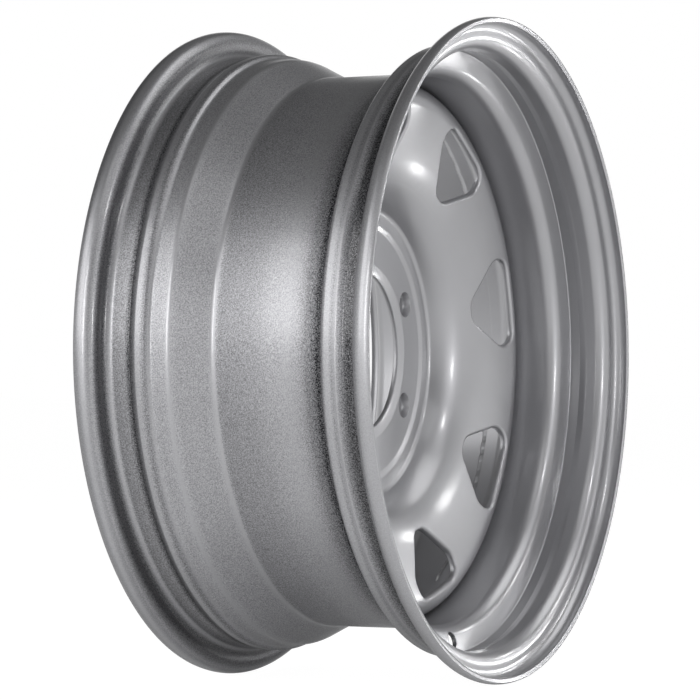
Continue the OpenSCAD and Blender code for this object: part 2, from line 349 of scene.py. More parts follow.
def go_to(old, new, longest=math.inf):
    """Extrude the selected vertex from one place to the next, in steps no longer than given"""
    steps = max(1, math.ceil((new - old).length / longest))
    for _ in range(steps):
        bpy.ops.mesh.extrude_region_move(TRANSFORM_OT_translate={"value": (new - old) / steps})
    return new


def trace(path, place, radii=None, longest=math.inf):
    """Draw a path: straight runs are extruded, and corners that have a radius are spun as bends of a section"""
    now = place(path[0])
    bpy.ops.transform.translate(value=now)
    for a, b, c, r in zip(path, path[1:], path[2:], (radii or [0] * len(path))[1:]):
        start, finish, centre, swing = corner(a, b, c, r)
        now = go_to(now, place(start), longest)
        if r > 0:
            bpy.ops.mesh.spin(steps=bend_steps(swing, ARC_STEP), angle=-swing, center=place(centre),
                              axis=SECTION_NORMAL)
            now = place(finish)
    go_to(now, place(path[-1]), longest)


def pick(test, kind="VERT"):
    """Select the vertices or edges that pass a test, in edit mode"""
    bpy.ops.mesh.select_mode(type=kind)
    bpy.ops.mesh.select_all(action="DESELECT")
    mesh = bpy.context.object.data
    bm = bmesh.from_edit_mesh(mesh)
    for item in {"VERT": bm.verts, "EDGE": bm.edges}[kind]:
        if test(item):
            item.select_set(True)
    bm.select_flush_mode()
    bmesh.update_edit_mesh(mesh)


def round_sharp(size, segments, test=lambda co: True):
    """Round the sharp edges whose two ends pass a test, in edit mode"""
    mesh = bpy.context.object.data
    bpy.ops.mesh.select_mode(type="EDGE")
    bpy.ops.mesh.select_all(action="DESELECT")
    bpy.ops.mesh.edges_select_sharp(sharpness=SHARP)
    bm = bmesh.from_edit_mesh(mesh)
    for edge in bm.edges:
        if edge.select and not all(test(v.co) for v in edge.verts):
            edge.select_set(False)
    bm.select_flush_mode()
    bmesh.update_edit_mesh(mesh)
    bpy.ops.mesh.bevel(offset=size, segments=segments, profile=0.5, affect="EDGES")


def spin_all(steps, angle, centre=(0, 0, 0), **settings):
    """Spin what is drawn about the axle, or about a line beside it, in edit mode"""
    bpy.ops.mesh.select_all(action="SELECT")
    bpy.ops.mesh.spin(steps=steps, angle=angle, center=centre, axis=AXLE, **settings)


def set_round(angle, count):
    """Turn what is drawn to its first place round the axle and copy it evenly to the others, in edit mode"""
    bpy.ops.mesh.select_all(action="SELECT")
    bpy.ops.transform.rotate(value=angle, orient_axis="Y", center_override=(0, 0, 0))
    spin_all(count - 1, math.tau * (count - 1) / count, dupli=True)


def reach(co):
    """Distance from the axle"""
    return math.hypot(co.x, co.z)


def round_angle(co):
    """Angle round the axle"""
    return math.atan2(co.z, co.x)


def merge(threshold=MERGE):
    """Make one point of those that lie together, in edit mode"""
    bpy.ops.mesh.select_all(action="SELECT")
    bpy.ops.mesh.remove_doubles(threshold=threshold)


def close_up(threshold=MERGE):
    """Merge points that lie together and turn the faces outwards, in edit mode"""
    merge(threshold)
    bpy.ops.mesh.normals_make_consistent(inside=False)


def face_the_way(test):
    """Turn all faces so that the first one whose place the test gives a direction for points that way"""
    bm = bmesh.from_edit_mesh(bpy.context.object.data)
    for face in bm.faces:
        way = test(face.calc_center_median())
        if way is not None:
            if face.normal.dot(way) < 0:
                bpy.ops.mesh.select_all(action="SELECT")
                bpy.ops.mesh.flip_normals()
            return
    raise RuntimeError("No face to take the direction from")


def choose(piece):
    """Make a piece the active object and the only one selected"""
    bpy.ops.object.select_all(action="DESELECT")
    piece.select_set(True)
    bpy.context.view_layer.objects.active = piece


def apply(piece, kind, **settings):
    """Add a modifier with its settings and apply it"""
    modifier = piece.modifiers.new(kind.title(), kind)
    for key, value in settings.items():
        setattr(modifier, key, value)
    choose(piece)
    bpy.ops.object.modifier_apply(modifier=modifier.name)


def cut_with(piece, cutter):
    """Take a cutter out of a piece and delete the cutter"""
    apply(piece, "BOOLEAN", operation="DIFFERENCE", solver="EXACT", object=cutter)
    choose(cutter)
    bpy.ops.object.delete()


def edit(piece):
    """Open a piece in edit mode"""
    choose(piece)
    bpy.ops.object.mode_set(mode="EDIT")


# How far a vertex may lie from the drawn section, or from its back, and how far a face may lean from it
FACE_GAP = 0.03 * MM
BACK_GAP = 0.06 * MM
FACE_LEAN = math.radians(25)
# Places that agree to this much share one normal
SAME_PLACE = 0.001 * MM


def follow_section(piece, fine, sheet, side):
    """Give both faces of a pressed sheet the exact normals of the section they were drawn from.
    The section's outer face lies to its left (side 1) or to its right (side -1)."""
    runs = [(a, (b - a).normalized(), (b - a).length)
            for a, b in zip(fine, fine[1:]) if (b - a).length > 0]
    known = {}

    def normal_at(p):
        key = (round(p.x / SAME_PLACE), round(p.y / SAME_PLACE))
        if key not in known:
            best = None
            for a, way, long in runs:
                along = min(max((p - a).dot(way), 0), long)
                gap = p - a - way * along
                if best is None or gap.length < best[0]:
                    best = (gap.length, Vector((-way.y, way.x)) * side)
            depth, out = best
            on_face = depth < FACE_GAP
            on_back = abs(depth - sheet) < BACK_GAP
            known[key] = out if on_face else -out if on_back else None
        return known[key]

    mesh = piece.data
    exact = []
    for vertex in mesh.vertices:
        co, r = vertex.co, reach(vertex.co)
        flat = normal_at(Vector((r, -co.y)))
        exact.append(flat and Vector((flat.x * co.x / r, -flat.y, flat.x * co.z / r)))
    close = math.cos(FACE_LEAN)
    loops = [Vector((0, 0, 0))] * len(mesh.loops)
    for face in mesh.polygons:
        for index, point in zip(face.loop_indices, face.vertices):
            if exact[point] and exact[point].dot(face.normal) > close:
                loops[index] = exact[point]
    mesh.normals_split_custom_set(loops)


def finish_piece(piece, nodes, smooth_angle):
    """Shade a piece, paint it and seat it on the frame"""
    choose(piece)
    bpy.ops.object.shade_smooth_by_angle(angle=smooth_angle)
    piece.data.materials.clear()
    piece.data.materials.append(enamel())
    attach(piece, BODY)
    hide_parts(*nodes)


# ---- finishes


def linear(code):
    """sRGB hex value as linear red, green, blue and alpha"""
    parts = [int(code[i:i + 2], 16) / 255 for i in (1, 3, 5)]
    return [p / 12.92 if p <= 0.04045 else ((p + 0.055) / 1.055) ** 2.4 for p in parts] + [1.0]


def add(tree, kind, links=(), **settings):
    """Add a node; settings name its properties or input sockets, links are (socket, output)"""
    made = tree.nodes.new(kind)
    for key, value in settings.items():
        if hasattr(made, key):
            setattr(made, key, value)
        else:
            made.inputs[key.replace("_", " ")].default_value = value
    for socket, output in links:
        tree.links.new(output, made.inputs[socket])
    return made


def calc(tree, operation, *terms):
    """Add a math node; its terms are sockets or plain numbers"""
    made = add(tree, "ShaderNodeMath", operation=operation)
    for socket, term in zip(made.inputs, terms):
        if isinstance(term, (int, float)):
            socket.default_value = term
        else:
            tree.links.new(term, socket)
    return made.outputs["Value"]


def ramp(tree, value, start, finish, kind="LINEAR"):
    """Lead a value from one (in, out) pair to another, and hold it beyond them"""
    (a, low), (b, high) = start, finish
    return add(tree, "ShaderNodeMapRange", [("Value", value)], interpolation_type=kind,
               From_Min=a, From_Max=b, To_Min=low, To_Max=high).outputs["Result"]


def blank_material(name):
    """New material and its empty node tree"""
    material = bpy.data.materials.new(name)
    material.use_nodes = True
    material.node_tree.nodes.clear()
    return material, material.node_tree


def wheel_enamel():
    """Silver wheel enamel: aluminium flake in a clear binder, sprayed on dip-primed steel.
    Where it went on wet it flowed out to an even grey with a soft metal glow and a gloss over it.
    Where the gun only grazed the surface it landed dry and sparse: grainy, dull, with dark primer between. The
    same primer also carries painted shade, laid into the creases and recesses of the tyre side."""
    look = bpy.context.scene.wheel_paint
    material, tree = blank_material(ENAMEL)
    place = add(tree, "ShaderNodeTexCoord").outputs["Object"]
    dry = add(tree, "ShaderNodeAttribute", attribute_name="overspray").outputs["Fac"]
    # Share of primer shown: sparse overspray, and painted shade in the tyre side's creases and recesses
    thin_and_shade = add(tree, "ShaderNodeAttribute", attribute_name="thin_and_shade").outputs["Fac"]
    # One grain is drawn at about a millimetre, coarser than the real spray so that it shows
    grain = add(tree, "ShaderNodeTexNoise", [("Vector", place)],
                Scale=1 / look.grain, Detail=2.0, Roughness=0.6).outputs["Fac"]
    cloud = add(tree, "ShaderNodeTexNoise", [("Vector", place)],
                Scale=1 / look.cloud, Detail=3.0, Roughness=0.5).outputs["Fac"]
    # Where the overspray is sparse, and where shade is painted in, the primer comes through, more where the
    # grain is low than where it is high
    contrast = ramp(tree, dry, (0, 0), (0.4, 1.9))
    high = calc(tree, "SUBTRACT", grain, 0.5)
    silver = calc(tree, "MULTIPLY_ADD", high, contrast, calc(tree, "SUBTRACT", 1.0, thin_and_shade))
    base = add(tree, "ShaderNodeMix", data_type="RGBA", clamp_factor=False)
    colours = [i for i in base.inputs if i.type == "RGBA"]
    colours[0].default_value = linear(look.primer)
    colours[1].default_value = linear(look.silver)
    tree.links.new(silver, base.inputs["Factor"])
    # Each pass of the gun leaves the coat a little lighter or darker
    even = ramp(tree, cloud, (0.3, 0.96), (0.7, 1.04))
    tone = add(tree, "ShaderNodeVectorMath", [
        (0, [o for o in base.outputs if o.type == "RGBA"][0]), ("Scale", even)], operation="SCALE")
    # Seen edge on, the grain hides itself
    facing = add(tree, "ShaderNodeLayerWeight", Blend=0.5).outputs["Facing"]
    relief = ramp(tree, facing, (0.5, 0.3), (0.85, 0.0))
    bump = add(tree, "ShaderNodeBump", [("Height", calc(tree, "MULTIPLY", grain, dry)), ("Strength", relief)],
               Distance=0.05 * MM)
    # Wet paint has a smooth clear gloss, and dry paint is rougher with almost none
    shader = add(tree, "ShaderNodeBsdfPrincipled", [
        ("Base Color", tone.outputs["Vector"]),
        ("Roughness", ramp(tree, dry, (0, 0.42), (1, 0.52))),
        ("Coat Weight", ramp(tree, dry, (0, 0.9), (1, 0.1))),
        ("Normal", bump.outputs["Normal"])],
        Metallic=0.9, Coat_Roughness=0.16)
    add(tree, "ShaderNodeOutputMaterial", [("Surface", shader.outputs["BSDF"])])
    return material


def enamel():
    """The one paint that all three pieces share"""
    return bpy.data.materials.get(ENAMEL) or wheel_enamel()


def mark(piece, name, amount):
    """Store a share from 0 to 1 on each vertex, for the paint to read"""
    layer = piece.data.attributes.new(name, "FLOAT", "POINT")
    for vertex in piece.data.vertices:
        layer.data[vertex.index].value = amount(vertex)


def between(stops, at):
    """Value at a place along a row of (place, value) stops"""
    for (a, low), (b, high) in zip(stops, stops[1:]):
        if at <= b:
            return low + (high - low) * max(at - a, 0) / (b - a)
    return stops[-1][1]


# ---- pieces


class WHEEL_OT_hoop(Operator):
    """Roll the rim hoop from its section, with lips, humps, well and valve hole"""
    bl_idname = "wheel.hoop"
    bl_label = "Rim hoop"

    # How much dark primer shows across the tyre side, partly from sparse overspray and partly as painted shade
    # in the creases, recesses and behind the humps: millimetres outboard of the middle, share left bare or
    # painted dark
    BARE_AND_PAINTED_SHADE = ((-103, 0.2), (-100.7, 0.5), (-98.8, 0.35), (-97.3, 0), (-95, 0), (-93.2, 0.3), (-91.5, 0.05),
            (-90.2, 0.4), (-89, 0.72), (-87.9, 0.75), (-86.8, 0.3), (-85.8, 0), (-84.6, 0), (-83.3, 0.4),
            (-79, 0.4), (-75.3, 0.4), (-73.5, 0.85), (-71.5, 0.82), (-69.5, 0.55), (-67.2, 0.1), (-65.4, 0),
            (-63.4, 0.2), (-61.5, 0.45), (-60.4, 0.3), (-59.1, 0), (-57.5, 0.05), (-55, 0.12), (-50.6, 0.1),
            (-48.4, 0.05), (-47.1, 0), (-44.5, 0), (-42, 0.12), (-25, 0.12), (-22.4, 0), (-20.2, 0),
            (-18.5, 0.36), (9, 0.22), (15, 0.14), (21, 0.1), (31, 0.05), (37, 0.15), (41, 0.3), (43, 0.5),
            (47, 0.6), (49.1, 0.75), (51.1, 0.95), (53, 0.93), (54.6, 0.57), (57, 0.88), (62, 0.3), (66, 0),
            (69, 0), (70.8, 0.7), (72.2, 0), (74, 0.4), (76.7, 0.68), (78.1, 0.85), (81, 0.94),
            (83.5, 0.92), (85, 0.6), (88, 0.7), (92, 0.3), (95, 0.1), (97, 0), (103, 0))
    # How dry it landed there, from 0 for wet and glossy to 1 for rough
    DRY = ((-103, 0.15), (-97, 0.12), (-94, 0.15), (-91, 0.3), (-88, 0.25), (-86.5, 0.2), (-85, 0.2),
           (-83, 0.5), (-75, 0.5), (-70, 0.3), (-67, 0.2), (-64, 0.3), (-61.5, 0.8), (-59.5, 0.15),
           (-58, 0.3), (-55, 0.6), (-49, 0.5), (-47.5, 0.1), (-45.5, 0.1), (-43.5, 0.6), (-25, 0.6),
           (-22.5, 0.1), (-20, 0.1), (-18.5, 1), (3, 0.95), (9, 0.75), (15, 0.55), (21, 0.4), (31, 0.25),
           (37, 0.35), (47, 0.8), (53, 1), (63, 0.5), (66, 0.15), (70, 0.3), (72, 0.1), (74, 0.4),
           (78, 0.35), (86, 0.35), (92, 0.3), (96, 0.15), (103, 0.1))

    def execute(self, context):
        s = context.scene.wheel_hoop
        path, radii = hoop_section(s)
        piece = begin("rim_hoop")
        trace(path, section_plane, radii, STRAIGHT_STEP)
        spin_all(s.steps, math.tau, use_auto_merge=True)
        close_up(MERGE_FINE)
        well = s.bead_seat_d / 2 - s.well_depth
        face_the_way(lambda p: Vector((p.x, 0, p.z)) if abs(reach(p) - well) < NEAR else None)
        end()
        inside = piece.vertex_groups.new(name="inside")
        apply(piece, "SOLIDIFY", thickness=s.sheet, offset=-1, use_even_offset=True,
              use_quality_normals=True, shell_vertex_group=inside.name)
        edit(piece)
        round_sharp(s.edge_r, segments=3)
        end()
        self.drill_valve(piece, s)
        self.spray(piece)
        finish_piece(piece, ["rim"], smooth_angle=math.radians(40))
        follow_section(piece, bent(path, radii, FINE_STEP), s.sheet, -1)
        return {"FINISHED"}

    @staticmethod
    def drill_valve(piece, s):
        """Drill the valve hole square through the steep well wall"""
        radius, outboard = valve_place(s)
        bpy.ops.object.select_all(action="DESELECT")
        bpy.ops.mesh.primitive_cylinder_add(vertices=64, radius=s.valve_d / 2, depth=2 * s.valve_d)
        drill = bpy.context.object
        lean = math.pi / 2 - s.wall_angle
        way = Vector((-math.sin(lean) * math.cos(s.valve_angle), -math.cos(lean),
                      -math.sin(lean) * math.sin(s.valve_angle)))
        drill.rotation_euler = way.to_track_quat("Z", "Y").to_euler()
        drill.location = (radius * math.cos(s.valve_angle), -outboard, radius * math.sin(s.valve_angle))
        bpy.ops.object.transform_apply(location=True, rotation=True, scale=True)
        cut_with(piece, drill)

    def spray(self, piece):
        """Mark how dry the paint lies on the tyre side, which the gun only grazed, and how much primer shows
        there, from sparse overspray and from painted shade in its creases
        """
        inside = piece.vertex_groups["inside"].index

        def grazed(vertex):
            return 1 - min(sum(g.weight for g in vertex.groups if g.group == inside), 1)

        mark(piece, "overspray", lambda vertex: grazed(vertex) * between(self.DRY, -vertex.co.y / MM))
        # Primer shown through: partly sparse overspray, partly painted shade in the creases and behind the
        # humps
        mark(piece, "thin_and_shade", lambda vertex: grazed(vertex) * between(self.BARE_AND_PAINTED_SHADE, -vertex.co.y / MM))


class WHEEL_OT_disc(Operator):
    """Press the centre disc: windows first, then the dish, the hub pad, the shoulder and the skirt"""
    bl_idname = "wheel.disc"
    bl_label = "Centre disc"

    # Two rings of faces that keep a window's edge crisp, as distances from it
    EDGE_RING = 3.2 * MM
    OUTER_RING = 6.5 * MM
    # Rings of faces from there to the border of the window's sector
    BETWEEN = 7
    # The part of the pressed face that is made of such sectors
    SECTOR_IN = 115.5 * MM
    SECTOR_OUT = 174.6 * MM
    # Rings of the plain section stay this clear of the sectors and of the coined lead-in
    CLEAR_IN = 0.5 * MM
    CLEAR_OUT = 0.3 * MM
    CLEAR_COIN = 1.0 * MM
    # Rings across the coined lead-in, as shares of its width from the bore
    COIN_RINGS = (1.3, 1.0, 0.8, 0.6, 0.4, 0.2, 0.1, 0.05, 0.0)
    # Share of the lead-in's depth that falls evenly, and how late the rest curls down
    COIN_SLOPE = 0.82
    COIN_CURL = 8
    # Inside this margin the hub pad is surely flat
    PAD_MARGIN = 8 * MM
    # How far from the pressed face a window's front edge may lie
    FRONT_GAP = 0.4 * MM
    # Points along half an outline: outer edge, outer corner, side, inner corner, inner edge
    HALF_COUNTS = (6, 24, 12, 9, 3)
    # Points along half a sector: outer arc, radial side, inner arc
    SECTOR_COUNTS = (20, 19, 15)
    # Places of the points along a radial side, close together on the two bends
    SIDE_STOPS = (0, 0.03, 0.06, 0.09, 0.12, 0.15, 0.18, 0.22, 0.27, 0.34,
                  0.42, 0.5, 0.58, 0.66, 0.74, 0.80, 0.85, 0.90, 0.95, 1)

    def execute(self, context):
        s = context.scene.wheel_disc
        path, radii = disc_section(s)
        self.fine = bent(path, radii, FINE_STEP)
        rings = bent(path, radii, RING_STEP)
        piece = begin("centre_disc")
        self.window(s)
        self.sector(s)
        set_round(s.window_angle, s.window_count)
        merge()
        pad = s.mount_z + s.sheet
        coin = [s.bore_d / 2 + s.coin_w * k for k in self.COIN_RINGS]
        inward = [p for p in rings if coin[0] + self.CLEAR_COIN < p.x < self.SECTOR_IN - self.CLEAR_IN]
        self.run_on(self.SECTOR_IN, inward[::-1] + [Vector((r, pad)) for r in coin])
        self.run_on(self.SECTOR_OUT, [p for p in rings if p.x > self.SECTOR_OUT + self.CLEAR_OUT])
        close_up()
        flat_in, flat_out = s.bore_d / 2 + s.coin_w, s.pad_d / 2 - self.PAD_MARGIN
        face_the_way(lambda p: -AXLE if flat_in < reach(p) < flat_out else None)
        end()
        apply(piece, "SOLIDIFY", thickness=s.sheet, offset=-1, use_even_offset=True, use_quality_normals=True)
        self.coin(piece, s)
        self.round_edges(piece, s)
        self.drill_lugs(piece, s)
        finish_piece(piece, ["disc"], smooth_angle=math.radians(35))
        follow_section(piece, self.fine, s.sheet, 1)
        return {"FINISHED"}

    def face_z(self, r):
        """Outboard place of the pressed face at a radius inside the sector"""
        for a, b in zip(self.fine, self.fine[1:]):
            if a.x <= r <= b.x and b.x > a.x:
                return a.y + (b.y - a.y) * (r - a.x) / (b.x - a.x)
        raise RuntimeError("Radius outside the pressed face")

    def outline(self, s, grow):
        """Corners and radii of a window, grown all round"""
        out = s.skirt_r - s.window_margin
        inn = out - s.window_h
        rise = (s.window_out_w - s.window_in_w) / 2
        slant = math.hypot(s.window_h, rise)
        widen = grow * slant / s.window_h

        def half(u):
            return s.window_in_w / 2 + rise * (u - inn) / s.window_h + widen

        corners = [(inn - grow, -half(inn - grow)), (out + grow, -half(out + grow)),
                   (out + grow, half(out + grow)), (inn - grow, half(inn - grow))]
        radii = [s.window_in_r + grow, s.window_out_r + grow, s.window_out_r + grow, s.window_in_r + grow]
        return [Vector(c) for c in corners], radii

    def outline_points(self, s, grow):
        """Points round a grown window, from the middle of its outer edge toward the far side"""
        corners, radii = self.outline(s, grow)
        edge, wide, side, tight, short = self.HALF_COUNTS
        middle = here = (corners[1] + corners[2]) / 2
        walk = []
        for i, run, bend in ((2, edge, wide), (3, side, tight), (0, 2 * short, tight), (1, side, wide)):
            start, finish, centre, swing = corner(corners[i - 1], corners[i], corners[(i + 1) % 4], radii[i])
            walk += [here.lerp(start, k / run) for k in range(run)]
            walk += arc(start, centre, swing, bend)[:-1]
            here = finish
        return walk + [here.lerp(middle, k / edge) for k in range(edge)]

    def sector_points(self, s):
        """Points round a sector of the face, in step with the points of its window"""
        half = math.pi / s.window_count
        outer, side, inner = self.SECTOR_COUNTS
        r0, r1 = self.SECTOR_OUT, self.SECTOR_IN
        stops = self.SIDE_STOPS
        walk = [(r0, half * k / outer) for k in range(outer)]
        walk += [(r0 + (r1 - r0) * stops[k], half) for k in range(side)]
        walk += [(r1, half * (1 - k / inner)) for k in range(2 * inner)]
        walk += [(r0 + (r1 - r0) * stops[side - k], -half) for k in range(side)]
        walk += [(r0, -half * (1 - k / outer)) for k in range(outer)]
        return [Vector((r * math.cos(a), r * math.sin(a))) for r, a in walk]

    def window(self, s):
        """Draw the closed outline of a window, still flat"""
        trace(self.outline_points(s, 0.0), face_plane)
        pick(lambda v: len(v.link_edges) == 1)
        bpy.ops.mesh.edge_face_add()

    def sector(self, s):
        """Extrude the window's edge outward in rings until it fills its sector, then bend that to the face"""
        mesh = bpy.context.object.data
        edge = self.outline_points(s, 0.0)
        ring = self.outline_points(s, self.EDGE_RING)
        grown = self.outline_points(s, self.OUTER_RING)
        border = self.sector_points(s)
        targets = [ring, grown]
        for k in range(1, self.BETWEEN + 1):
            targets.append([g.lerp(b, k / self.BETWEEN) for g, b in zip(grown, border)])
        bm = bmesh.from_edit_mesh(mesh)
        layer = bm.verts.layers.int.new("round")
        for v in bm.verts:
            flat = Vector((v.co.x, v.co.z))
            v[layer] = min(range(len(edge)), key=lambda i: (edge[i] - flat).length_squared)
        bmesh.update_edit_mesh(mesh)
        bpy.ops.mesh.select_all(action="SELECT")
        for target in targets:
            bpy.ops.mesh.extrude_region_move()
            bm = bmesh.from_edit_mesh(mesh)
            layer = bm.verts.layers.int["round"]
            for v in bm.verts:
                if v.select:
                    v.co = face_plane(target[v[layer]])
            bmesh.update_edit_mesh(mesh)
        bm = bmesh.from_edit_mesh(mesh)
        for v in bm.verts:
            v.co.y = -self.face_z(min(max(reach(v.co), self.SECTOR_IN), self.SECTOR_OUT))
        bm.verts.layers.int.remove(bm.verts.layers.int["round"])
        bmesh.update_edit_mesh(mesh)

    def run_on(self, radius, points):
        """Carry a round edge of the face on through the rest of the section"""
        pick(lambda e: e.is_boundary and all(abs(reach(v.co) - radius) < 2 * MERGE for v in e.verts), "EDGE")
        here = Vector((radius, self.face_z(radius)))
        for p in points:
            bpy.ops.mesh.extrude_region_move()
            grow = p.x / here.x
            bpy.ops.transform.resize(value=(grow, 1, grow), center_override=(0, 0, 0))
            bpy.ops.transform.translate(value=(0, here.y - p.y, 0))
            here = p

    def coin(self, piece, s):
        """Press the lead-in round the bore's outboard edge"""
        edit(piece)
        pad = s.mount_z + s.sheet
        bore = s.bore_d / 2
        mesh = piece.data
        bm = bmesh.from_edit_mesh(mesh)
        for v in bm.verts:
            r = reach(v.co)
            if r < bore + s.coin_w and abs(v.co.y + pad) < NEAR:
                t = 1 - (r - bore) / s.coin_w
                v.co.y += s.coin_h * (t * self.COIN_SLOPE + (1 - self.COIN_SLOPE) * t ** self.COIN_CURL)
        bmesh.update_edit_mesh(mesh)
        end()

    def round_edges(self, piece, s):
        """Round the coined front of the window edges, then their back, the bore and the skirt"""
        edit(piece)

        def at_window(co):
            return self.SECTOR_IN < reach(co) < self.SECTOR_OUT

        def on_face(co):
            return at_window(co) and abs(co.y + self.face_z(reach(co))) < self.FRONT_GAP

        round_sharp(s.window_edge_r, 4, on_face)
        round_sharp(s.edge_r, 2, lambda co: at_window(co) and not on_face(co))
        round_sharp(s.edge_r, 2, lambda co: not at_window(co))
        end()

    @staticmethod
    def drill_lugs(piece, s):
        """Drill the lug holes with their conical nut seats"""
        pad = s.mount_z + s.sheet
        seat_tan = math.tan(s.lug_seat_angle / 2)
        depth = (s.lug_seat_d - s.lug_d) / 2 / seat_tan
        # The drill stands out of the sheet by this much on both sides
        over = 2 * MM
        half = [(0, s.mount_z - over), (s.lug_d / 2, s.mount_z - over), (s.lug_d / 2, pad - depth),
                (s.lug_seat_d / 2 + over * seat_tan, pad + over), (0, pad + over)]
        drill = begin("lug_drill")
        centre = Vector((s.lug_pcd / 2, 0, 0))
        trace([Vector(p) for p in half], lambda p: section_plane(p) + centre)
        spin_all(48, math.tau, centre)
        close_up()
        set_round(s.lug_angle, s.lug_count)
        close_up()
        end()
        cut_with(piece, drill)


class WHEEL_OT_welds(Operator):
    """Lay the weld runs between the skirt's free edge and the rim well"""
    bl_idname = "wheel.welds"
    bl_label = "Weld runs"

    # Spacing of the sections along a run
    STEP = 1.0 * MM
    # Points across the bead, as shares of the way from its toe to its foot
    ACROSS = (0.0, 0.15, 0.35, 0.5, 0.65, 0.85, 1.0)
    # How much the bead's size changes with each ripple, slowly along the run, and toward the run's ends
    WAVE = 0.025
    DRIFT = 0.16
    DRIFT_LENGTH = 7 * MM
    DRIFT_ROW = (3.1, 0.7)
    TAPER = 0.45
    TAPER_LENGTH = 2.5 * MM
    # Angle within which an edge counts as at the end of a run
    END_ANGLE = 0.001

    def execute(self, context):
        s = context.scene.wheel_weld
        disc = context.scene.wheel_disc
        hoop = context.scene.wheel_hoop
        well = hoop.bead_seat_d / 2 - hoop.well_depth - hoop.sheet
        skirt_end = disc_section(disc)[0][-1].y
        root = Vector((well, skirt_end))
        toe = Vector((disc.skirt_r - disc.sheet + s.strip, skirt_end))
        foot = Vector((well, skirt_end - s.leg))
        across = foot - toe
        out = Vector((across.y, -across.x)).normalized()
        if out.dot(toe - root) < 0:
            out = -out
        # A low arch over the straight line from toe to foot, highest half way
        bow = [toe + across * t + out * s.crown * 4 * t * (1 - t) for t in self.ACROSS]
        piece = begin("weld_runs")
        trace([root] + bow + [root], section_plane)
        steps = round(s.run * well / self.STEP)
        spin_all(steps, s.run)
        merge()
        self.ripple(s, section_plane(root), steps)
        for angle in (0.0, s.run):
            def at_end(v):
                return abs(round_angle(v.co) - angle) < self.END_ANGLE

            pick(lambda e: e.is_boundary and all(at_end(v) for v in e.verts), "EDGE")
            bpy.ops.mesh.edge_face_add()
        close_up()
        set_round(s.start, s.count)
        end()
        finish_piece(piece, ["weld_beads"], smooth_angle=math.radians(45))
        return {"FINISHED"}

    def ripple(self, s, root, steps):
        """Swell and shrink the bead along the run, as the torch stepped along it"""
        well = root.x
        for k in range(steps + 1):
            angle = s.run * k / steps
            along = angle * well
            from_end = min(along, s.run * well - along)
            wave = self.WAVE * math.sin(math.tau * along / s.ripple)
            drift = self.DRIFT * noise.noise(Vector((along / self.DRIFT_LENGTH, *self.DRIFT_ROW)))
            taper = self.TAPER * math.exp(-from_end / self.TAPER_LENGTH)
            size = 1.0 + wave + drift - taper
            # The section at this angle, and none of its neighbours
            pick(lambda v: abs(round_angle(v.co) - angle) < 0.2 * s.run / steps)
            centre = Vector((well * math.cos(angle), root.y, well * math.sin(angle)))
            bpy.ops.transform.resize(value=(size, size, size), center_override=centre)


